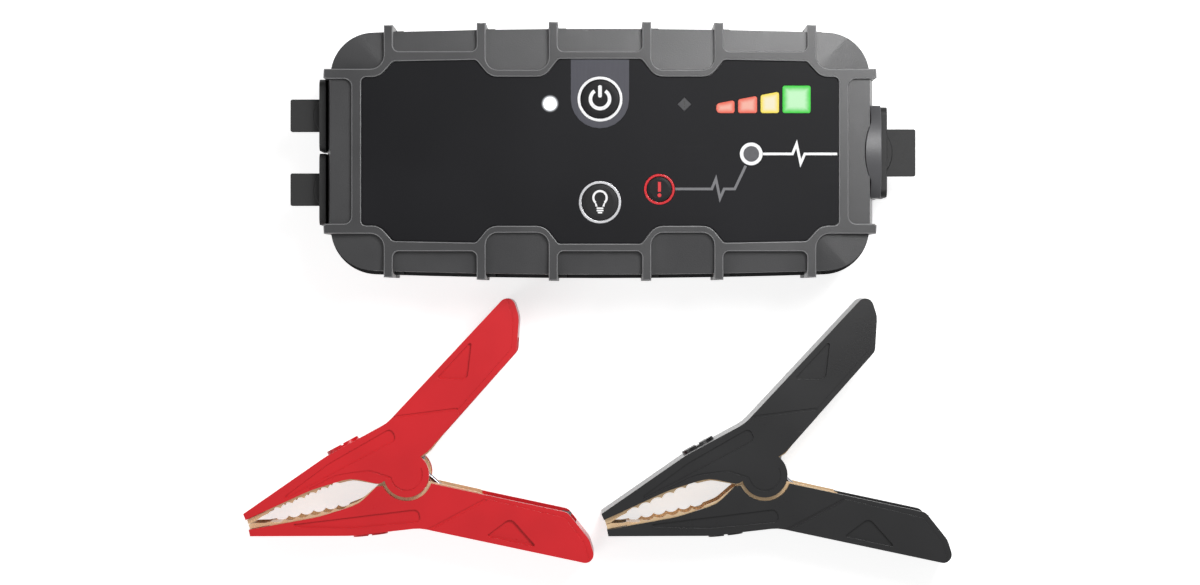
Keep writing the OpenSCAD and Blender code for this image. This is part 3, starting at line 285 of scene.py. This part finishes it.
def face_film():
    """Matt film: a very fine even stipple, slow waves of gloss and a few hair scratches. A painted
    glow, emission in the film itself, rings the power light and fades out between 1.9 and 2.9 mm
    from its middle."""
    f = Finish("face_panel_film")
    # Painted glow: emission in the film round the power light.
    painted_glow = (1 - off_middle(f, power_light).between(0.0019, 0.0029)) ** 1.6
    stipple = f.noise(0.00022, 2.0)
    sheen = f.noise(0.05, 2.0)
    hair = f.noise(0.0011, 1.0, (0.05, 1, 1)).between(0.72, 0.8)
    return f.coat(Base_Color=f.blend(sheen.between(0.3, 0.7), (0.0075, 0.0075, 0.009),
                                     (0.0115, 0.0115, 0.0135)),
                  Roughness=(0.5 + (sheen - 0.5) * 0.14 - hair * 0.06).clamped(),
                  Emission_Color=f.blend(painted_glow, (0, 0, 0), (0.75, 0.77, 0.8)), Emission_Strength=1.1,
                  Specular_IOR_Level=0.13, Normal=f.bump(stipple, 0.000012))


def tongue_film():
    """Satin film, brushed along its length."""
    f = Finish("tongue_film")
    brushed = f.noise(0.0006, 2.0, (1, 0.08, 1))
    return f.coat(Base_Color=f.blend(brushed, (0.057, 0.057, 0.071), (0.073, 0.073, 0.089)),
                  Roughness=(0.42 + (brushed - 0.5) * 0.12).clamped(), Specular_IOR_Level=0.25,
                  Normal=f.bump(brushed, 0.000008))


eased("face_panel", "pack", 0.00018, face_film(), "face_panel_sheet")
finished("power_tongue", tongue_film())


# ---- Rings round the keys ----
# Three thin collars, pressed into the front half: glossy white for power, silver-lacquered for
# the lamp and glossy red for the override. Their edges are rounded.

def lacquer(name, colour, rough=0.22, flake=0.0):
    """Glossy moulding or lacquer: nearly even colour, tiny orange-peel waves."""
    f = Finish(name)
    peel = f.noise(0.0012, 2.0)
    smear = f.noise(0.01, 3.0)
    return f.coat(Base_Color=f.blend(smear, colour, tinted(colour, 1.05, 0.01)), Metallic=flake,
                  Roughness=(rough + (smear - 0.5) * 0.12).clamped(),
                  Coat_Weight=0.3, Normal=f.bump(peel, 0.000012))


white_lacquer = lacquer("white_ring_plastic", (0.86, 0.86, 0.87))
silver_lacquer = lacquer("silver_ring_lacquer", (0.55, 0.55, 0.57), 0.3, 0.7)
red_lacquer = lacquer("red_ring_plastic", (0.62, 0.012, 0.02))
for node, piece, material, slot in (("power_ring", "power_key_collar", white_lacquer, "white_ring"),
                                    ("light_ring", "lamp_key_collar", silver_lacquer, "silver_ring"),
                                    ("override_ring", "override_key_collar", red_lacquer, "red_ring")):
    eased(node, "pack", 0.00016, material, piece, 3)


# ---- Keys ----
# Three caps of black plastic with a soft-touch coating. Each is slightly domed, with a flat
# field in the middle for its printed sign, and slides down its ring on to a push switch.

def key_skin(name, colour):
    """Soft-touch coating: close stipple, rubbed a little smoother and lighter in patches."""
    f = Finish(name)
    stipple = f.noise(0.0003, 2.0)
    rub = f.noise(0.004, 3.0)
    return f.coat(Base_Color=f.blend(rub, colour, tinted(colour, 1.35, 0.003)),
                  Roughness=(0.4 + (rub - 0.5) * 0.14).clamped(), Specular_IOR_Level=0.1,
                  Normal=f.bump(stipple, 0.00001))


for node, kind, colour in (("power_key", "power", (0.0125, 0.0125, 0.0135)),
                           ("light_key", "lamp", (0.02, 0.02, 0.021)),
                           ("override_key", "override", (0.014, 0.014, 0.015))):
    cap = f"{kind}_key_cap"
    skin = key_skin(f"{cap}_coat", colour)
    eased(node, f"{kind}_button", 0.00022, skin, cap, 3)


# ---- Printed signs and lines ----
# Screen-printed ink, a few hundredths of a millimetre thick and satin, with the slightly
# uneven cover of a print: white for power, lamp and the pulse line, grey for the link between
# the lights, red for the override.

def ink(name, colour):
    """Satin ink, a little thinner and darker in patches."""
    f = Finish(name)
    cover = f.noise(0.0009, 3.0)
    return f.coat(Base_Color=f.blend(cover.between(0.25, 0.5), tinted(colour, 0.86), colour),
                  Roughness=(0.45 + (cover - 0.5) * 0.1).clamped(), Normal=f.bump(cover, 0.000006))


white_ink = ink("white_ink", (0.86, 0.86, 0.87))
for node in ("power_icon", "light_icon", "pulse_line"):
    finished(node, white_ink)
finished("link_line", ink("grey_ink", (0.145, 0.145, 0.155)))
finished("override_icon", ink("red_ink", (0.68, 0.014, 0.022)))


# ---- Lights ----
# Light pipes of milky acrylic that end just above the panel. The charge wedge is lit red,
# yellow and green from low to full; each pipe is brightest in its middle, over its diode.

def lit_pipe(name, shape, colour, core, soft, glow=0.15):
    """Lit diffuser: `colour` at its rim and the paler `core` further in than `soft` metres.
    `shape` gives the distance to the nearest edge from a place on the face."""
    f = Finish(name)
    cloud = f.noise(0.0012, 2.0)
    inside = (shape(f) + (cloud - 0.5) * soft * 0.25).between(0.0, soft)
    tone = f.blend(inside, colour, core)
    return f.coat(Base_Color=tone, Emission_Color=tone, Emission_Strength=glow,
                  Roughness=(0.35 + (cloud - 0.5) * 0.1).clamped(), Specular_IOR_Level=0.2,
                  Normal=f.bump(cloud, 0.000008))


def dark_pipe(name, colour):
    """Unlit diffuser: milky grey with faint clouds."""
    f = Finish(name)
    cloud = f.noise(0.0012, 2.0)
    return f.coat(Base_Color=f.blend(cloud, tinted(colour, 0.8), colour),
                  Roughness=(0.3 + (cloud - 0.5) * 0.12).clamped(),
                  Specular_IOR_Level=0.2, Normal=f.bump(cloud, 0.000008))


wedge_foot, wedge_start, wedge_rise = 0.0118, 0.0358, 0.19
top_at_start, full_light_top = 0.0147, 0.0202


def wedge_slice(first, last):
    """Least distance to the two sides, the foot and the top of one slice of the charge wedge,
    where the top is a straight line that rises from the wedge's low end."""
    def edges(f):
        x, y = f.along(0), f.along(1)
        top = (x - wedge_start) * wedge_rise + top_at_start
        return (x - first).least(last - x).least(y - wedge_foot).least(top - y)
    return edges


def low_pair(f):
    """The larger of the two red slices' distances: that of the slice that the place lies in."""
    return wedge_slice(wedge_start, 0.04145)(f).most(wedge_slice(0.04255, 0.0484)(f))


def full_light(f):
    """Least distance to the four sides of the square light."""
    x, y = f.along(0), f.along(1)
    return (x - 0.05625).least(0.0649 - x).least(y - wedge_foot).least(full_light_top - y)


def round_light(f):
    """Distance to the rim of the power light: its radius less the distance from its middle."""
    return 0.002 - off_middle(f, power_light)


for node, name, shape, colour, core, soft in (
        ("charge_red_lenses", "red_light_acrylic", low_pair,
         (0.66, 0.11, 0.07), (0.7, 0.35, 0.28), 0.0017),
        ("charge_yellow_lens", "yellow_light_acrylic", wedge_slice(0.0495, 0.05515),
         (0.73, 0.58, 0.065), (0.7, 0.64, 0.46), 0.0018),
        ("charge_green_lens", "green_light_acrylic", full_light,
         (0.03, 0.5, 0.035), (0.42, 0.7, 0.42), 0.0022)):
    finished(node, lit_pipe(name, shape, colour, core, soft))
finished("power_lens", lit_pipe("power_light_acrylic", round_light,
                                (0.8, 0.82, 0.85), (1.0, 1.0, 1.0), 0.0006, 0.7))
finished("boost_lens", dark_pipe("boost_light_acrylic", (0.12, 0.12, 0.13)))
finished("boost_ring", white_lacquer)
finished("error_lens", dark_pipe("error_light_acrylic", (0.078, 0.078, 0.082)))


# ---- Sign on the error light ----
# A dark exclamation mark, printed on the diamond of the error light: a stroke that narrows
# downwards and a round dot.

def prisms(outlines, low, thick):
    """Prism of each flat outline: its corners at z = low and again `thick` higher, a face over
    each end and one four-cornered side for each of its edges."""
    points, faces, start = [], [], 0
    for outline in outlines:
        n = len(outline)
        points.append(np.vstack([np.c_[outline, np.full(n, low)],
                                 np.c_[outline, np.full(n, low + thick)]]))
        edge = np.arange(n)
        after = (edge + 1) % n
        sides = np.stack([edge, after, after + n, edge + n], 1) + start
        faces += sides.tolist() + [(edge[::-1] + start).tolist(), (edge + n + start).tolist()]
        start += 2 * n
    return np.vstack(points), faces


low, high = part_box("error_lens")
middle = (low + high) / 2
ink_depth, dot_radius, dot_drop = 0.00004, 0.00027, 0.00082
turn = np.linspace(0, 2 * math.pi, 20, endpoint=False)
stroke = np.array([[-0.00029, 0.00098], [-0.0002, -0.0002], [-0.0001, -0.0003], [0.0001, -0.0003],
                   [0.0002, -0.0002], [0.00029, 0.00098], [0.00018, 0.0011], [-0.00018, 0.0011]])
dot = np.stack([dot_radius * np.cos(turn), dot_radius * np.sin(turn) - dot_drop], 1)
points, faces = prisms([stroke + [middle.x, middle.y], dot + [middle.x, middle.y]], high.z, ink_depth)
sign_mesh = bpy.data.meshes.new("error_sign")
sign_mesh.from_pydata(points.tolist(), [], faces)
sign_mesh.materials.append(ink("dark_ink", (0.016, 0.016, 0.017)))
error_sign = shown("error_sign", sign_mesh)
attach(error_sign, "pack")


# ---- Inside the casing ----
# Green circuit board with its parts, a relay, three foil-wrapped flat cells between foam pads
# in a plastic tray, and copper bars from the cells to the outlet.

def solder_mask():
    """Board lacquer: green with darker and lighter tracks under it."""
    f = Finish("board_lacquer")
    where = f.add("ShaderNodeMapping", {}, {"Vector": f.place(), "Scale": (1, 1, 0)})
    cell = f.add("ShaderNodeTexVoronoi", {"distance": "CHEBYCHEV"}, {"Vector": where, "Scale": 260.0})
    track = cell.between(0.2, 0.26)
    return f.coat(Base_Color=f.blend(track, (0.02, 0.16, 0.055), (0.012, 0.085, 0.03)),
                  Roughness=0.3, Normal=f.bump(track, 0.00003))


def foil():
    """Aluminium laminate: bright, with soft crumples."""
    f = Finish("cell_foil")
    crumple = f.noise(0.006, 4.0)
    return f.coat(Base_Color=f.blend(crumple, (0.46, 0.48, 0.5), (0.62, 0.64, 0.67)), Metallic=0.8,
                  Roughness=(0.35 + (crumple - 0.5) * 0.3).clamped(), Normal=f.bump(crumple, 0.0002))


def plated(name, colour, rough, size=0.004, stretch=(1, 1, 1)):
    """Bright metal: fine drawn streaks, tarnish in slow patches."""
    f = Finish(name)
    streak = f.noise(0.0004, 2.0, stretch)
    tarnish = f.noise(size, 3.0)
    return f.coat(Base_Color=f.blend(tarnish.between(0.35, 0.75), colour, tinted(colour, 0.72)),
                  Metallic=1.0, Normal=f.bump(streak, 0.000008),
                  Roughness=(rough + (tarnish - 0.5) * 0.2 + (streak - 0.5) * 0.1).clamped())


inner_black = moulded("inner_black_plastic", (0.014, 0.014, 0.015), 0.5, 0.0005, 0.00003)
finished("main_board", solder_mask())
finished("board_parts", inner_black)
finished("key_switches", inner_black)
finished("relay", lacquer("relay_plastic", (0.02, 0.035, 0.12), 0.3))
finished("battery_cells", foil())
finished("cell_pads", rubber("foam_pad", (0.03, 0.03, 0.03), 0.9, 0.1))
finished("cell_tray", moulded("tray_plastic", (0.02, 0.02, 0.022), 0.5, 0.0005, 0.00003))
finished("bus_bars", plated("copper_bar", (0.72, 0.31, 0.17), 0.3, 0.006, (0.1, 1, 1)))


# ---- Outlet ----
# A grey bezel with a curved flare is set into the right end. It holds the black socket, whose
# two thick brass pins stand in a deep recess for the plug of the clamps' lead.

bezel_plastic = moulded("bezel_plastic", (0.075, 0.075, 0.08), 0.42, 0.0004, 0.00003)
eased("dc_bezel", "pack", 0.0005, bezel_plastic, "outlet_bezel", 3)
eased("dc_socket", "pack", 0.00025, inner_black, "outlet_socket")
finished("dc_contacts", plated("contact_brass", (0.8, 0.55, 0.24), 0.22, 0.003, (1, 1, 0.1)))


# ---- Port flaps ----
# Three flaps of black rubber, moulded in one with a thick pull tab and tied to the wall by a
# strap below. They keep dust and water out of the outlet and of the two USB sockets.

flap_rubber = rubber("flap_rubber", (0.0105, 0.0105, 0.011), 0.6)
for node, body, piece in (("usb_out_cover", "usb_out_flap", "usb_outlet_flap"),
                          ("usb_in_cover", "usb_in_flap", "usb_inlet_flap"),
                          ("dc_cover", "dc_flap", "outlet_flap")):
    eased(node, body, 0.0004, flap_rubber, piece, 3)
eased("cover_anchors", "pack", 0.0005, flap_rubber, "flap_straps", 3)

tin = plated("socket_tin", (0.62, 0.63, 0.65), 0.28)
finished("usb_out_shell", tin)
finished("usb_in_shell", tin)
finished("usb_tongues", lacquer("socket_tongue_plastic", (0.7, 0.7, 0.68), 0.35))


# ---- Lamp and casing screws ----
# A clear window in the upper long side covers two small diodes in bright cups. Four black
# screws with hexagon sockets come up through the rear half into the front one.

def clear_window():
    """Clear acrylic: see-through, with faint moulding ripples."""
    f = Finish("lamp_window_acrylic")
    ripple = f.noise(0.003, 2.0)
    return f.coat(Base_Color=(0.92, 0.95, 0.97), Roughness=(0.06 + ripple * 0.06).clamped(),
                  Normal=f.bump(ripple, 0.00003), Alpha=0.45)


finished("lamp_window", clear_window())
finished("lamp_reflector", plated("lamp_cup_plating", (0.85, 0.86, 0.88), 0.12))
finished("case_screws", plated("screw_black_zinc", (0.06, 0.06, 0.065), 0.4))


# ---- Clamp covers ----
# Each clamp has two lever covers of hard satin plastic, one pair red and one black, moulded
# as channels over the jaw plates. Handling leaves a few faint scuffs along the grips.

def grip_plastic(name, colour, scuff):
    """Satin moulding: a fine even grain, slow changes of gloss, a few hair-thin scuffs."""
    f = Finish(name)
    grain = f.noise(0.0005, 2.0)
    cloud = f.noise(0.025, 2.0)
    scuffs = f.noise(0.0012, 1.0, (0.06, 1, 1)).between(0.72, 0.82)
    plain = f.blend(cloud.between(0.3, 0.7), tinted(colour, 0.9), colour)
    rough = 0.3 + (cloud - 0.5) * 0.12 + (grain - 0.5) * 0.06
    return f.coat(Base_Color=f.blend(scuffs * 0.2, plain, scuff),
                  Roughness=(rough + scuffs * 0.1).clamped(), Normal=f.bump(grain, 0.000012))


grips = {"red": grip_plastic("red_grip_plastic", (0.72, 0.013, 0.02), (0.76, 0.07, 0.075)),
         "black": grip_plastic("black_grip_plastic", (0.0125, 0.0125, 0.0135),
                               (0.045, 0.043, 0.042))}
for hue, material in grips.items():
    for half, body in (("lower", f"{hue}_clamp"), ("upper", f"{hue}_lever")):
        cover = eased(f"{hue}_{half}_cover", body, 0.00045, material, f"{hue}_{half}_grip", 3)


# ---- Jaw plates, pins and glands ----
# The jaws are channels of 1.2 mm copper-plated steel with scalloped teeth, pale where they are
# polished by use and warmer inside. A ground steel pin joins the levers, and a rubber gland
# fills the end of the lower handle for the lead.

def jaw_plating():
    """Copper plate: warm gold, paler rub marks, brown tarnish in slow patches."""
    f = Finish("jaw_plate_copper")
    drawn = f.noise(0.0005, 2.0, (1, 1, 0.12))
    patch = f.noise(0.007, 4.0)
    gold = f.blend(patch.between(0.3, 0.7), (0.98, 0.72, 0.43), (0.92, 0.6, 0.32))
    return f.coat(Base_Color=f.blend(drawn * 0.25, gold, (1.0, 0.88, 0.68)), Metallic=0.42,
                  Roughness=(0.24 + (patch - 0.5) * 0.2 + (drawn - 0.5) * 0.08).clamped(),
                  Normal=f.bump(drawn, 0.000012))


plating = jaw_plating()
steel = plated("pin_steel", (0.5, 0.5, 0.52), 0.25)
gland_rubber = rubber("gland_rubber", (0.012, 0.012, 0.0125))
for hue in grips:
    for half, body in (("lower", f"{hue}_clamp"), ("upper", f"{hue}_lever")):
        jaw = eased(f"{hue}_{half}_plate", body, 0.00016, plating, f"{hue}_{half}_jaw")
    finished(f"{hue}_pivot_pin", steel)
    finished(f"{hue}_cable_gland", gland_rubber)


# ---- Clamp springs ----
# A torsion spring of 1.4 mm wire sits on each pin, with a straight leg in each handle. It
# winds as the handles close; here it is drawn in one fixed pose and follows neither lever.

def spring_wire(centre, low, high, turns=6, mean=0.0036, leg=0.029, steps=40, tilt=17.5):
    """Middle line: a helix of `mean` radius that rises evenly, from 30 degrees past the tilt to
    30 degrees short of full turns, with a straight leg along its tangent at either end."""
    begin, end = math.radians(tilt + 30), math.radians(tilt + turns * 360 - 30)
    share = np.linspace(0, 1, turns * steps)
    angle = begin + (end - begin) * share
    coil = np.stack([centre.x + mean * np.cos(angle), centre.y + mean * np.sin(angle),
                     low + (high - low) * share], 1)
    away = np.linspace(1, 0, 6)[:-1, None] * leg
    first = coil[0] + away * [math.sin(begin), -math.cos(begin), 0]
    last = coil[-1] + away[::-1] * [-math.sin(end), math.cos(end), 0]
    return np.vstack([first, coil, last])


def tube(path, radius, around=14):
    """Round tube: at each point of the path a circle in the plane of the sideways direction
    (the tangent crossed with Z) and the direction square to both."""
    ahead = np.gradient(path, axis=0)
    ahead /= np.linalg.norm(ahead, axis=1)[:, None]
    side = np.cross([0, 0, 1], ahead)
    side /= np.linalg.norm(side, axis=1)[:, None]
    up = np.cross(ahead, side)
    turn = np.linspace(0, 2 * math.pi, around, endpoint=False)
    ring = (path[:, None] + radius * (np.cos(turn)[None, :, None] * side[:, None]
                                      + np.sin(turn)[None, :, None] * up[:, None])).reshape(-1, 3)
    row, col = np.meshgrid(np.arange(len(path) - 1), np.arange(around), indexing="ij")
    after = (col + 1) % around
    quads = np.stack([row * around + col, row * around + after, (row + 1) * around + after,
                      (row + 1) * around + col], -1).reshape(-1, 4)
    end = (len(path) - 1) * around
    return ring, quads.tolist() + [list(range(around))[::-1], [end + k for k in range(around)]]


spring_foot, spring_top, wire_radius = 0.0065, 0.0185, 0.0007
spring_steel = plated("spring_steel", (0.34, 0.34, 0.36), 0.3)
for hue in grips:
    low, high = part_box(f"{hue}_pivot_pin")
    pin = (low + high) / 2
    points, faces = tube(spring_wire(pin, spring_foot, spring_top), wire_radius)
    mesh = bpy.data.meshes.new(f"{hue}_torsion_spring")
    mesh.from_pydata(points.tolist(), [], faces)
    mesh.shade_smooth()
    mesh.materials.append(spring_steel)
    coil = shown(f"{hue}_torsion_spring", mesh)
    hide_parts(f"{hue}_spring")
    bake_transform(coil)


# ---- Floor, light and camera ----
# A plain pale floor under soft studio lamps: the main one above and beyond the pack's upper
# right corner, and a weaker one from the lower left. The camera looks straight down.

def pale_floor():
    """White to the camera and to mirrors, with the object's shadow left on it."""
    f = Finish("studio_floor")
    paper = f.noise(0.3, 1.0)
    f.coat(Base_Color=f.blend(paper, (0.8, 0.8, 0.8), (0.82, 0.82, 0.82)), Roughness=0.9)
    strength = (f.ray("Camera") + f.ray("Glossy")).clamped() * 0.72
    glow = f.add("ShaderNodeEmission", {}, {"Color": (1, 1, 1, 1), "Strength": strength})
    both = f.add("ShaderNodeAddShader", {}, {0: Value(f, f.shader.outputs[0]), 1: glow})
    f.tree.links.new(both.socket, f.tree.nodes["Material Output"].inputs["Surface"])
    return f.material


reach, drop = 4, -0.0002
floor_mesh = bpy.data.meshes.new("studio_floor")
floor_mesh.from_pydata([(-reach, -reach, drop), (reach, -reach, drop), (reach, reach, drop),
                        (-reach, reach, drop)], [], [(0, 1, 2, 3)])
floor_mesh.materials.append(pale_floor())
shown("studio_floor", floor_mesh)


class Air(Finish):
    """The white room all round: a finish whose shader is the world's Background."""

    def __init__(self, name):
        self.material = bpy.data.worlds.new(name)
        self.material.use_nodes = True
        self.tree = self.material.node_tree
        self.shader = self.tree.nodes["Background"]


air = Air("studio_air")
dim = 0.25 + air.ray("Glossy") * 0.25
bpy.context.scene.world = air.coat(Color=(1, 1, 1), Strength=dim + air.ray("Camera") * (1 - dim))


def lamp(name, place, aim, size, power):
    """Square soft box at `place`, turned towards `aim`."""
    data = bpy.data.lights.new(name, "AREA")
    data.shape, data.size, data.energy = "SQUARE", size, power
    box = shown(name, data)
    box.location = place
    box.rotation_euler = (Vector(aim) - Vector(place)).to_track_quat("-Z", "Y").to_euler()


lamp("main_lamp", (0.13, 0.15, 0.45), (0, -0.04, 0), 0.2, 1.8)
lamp("fill_lamp", (-0.5, -0.55, 0.5), (0, -0.1, 0), 0.5, 1.6)

# The picture takes in 375 mm from side to side, measured 25 mm above the floor.
sensor, eye_height, seen_height, seen_width = 36, 1.25, 0.025, 0.375
camera_data = bpy.data.cameras.new("camera")
camera_data.sensor_width = sensor
camera_data.lens = sensor * (eye_height - seen_height) / seen_width
camera = shown("camera", camera_data)
camera.location = (0.0, -0.0435, eye_height)
bpy.context.scene.camera = camera
bpy.context.scene.view_settings.view_transform = "Standard"
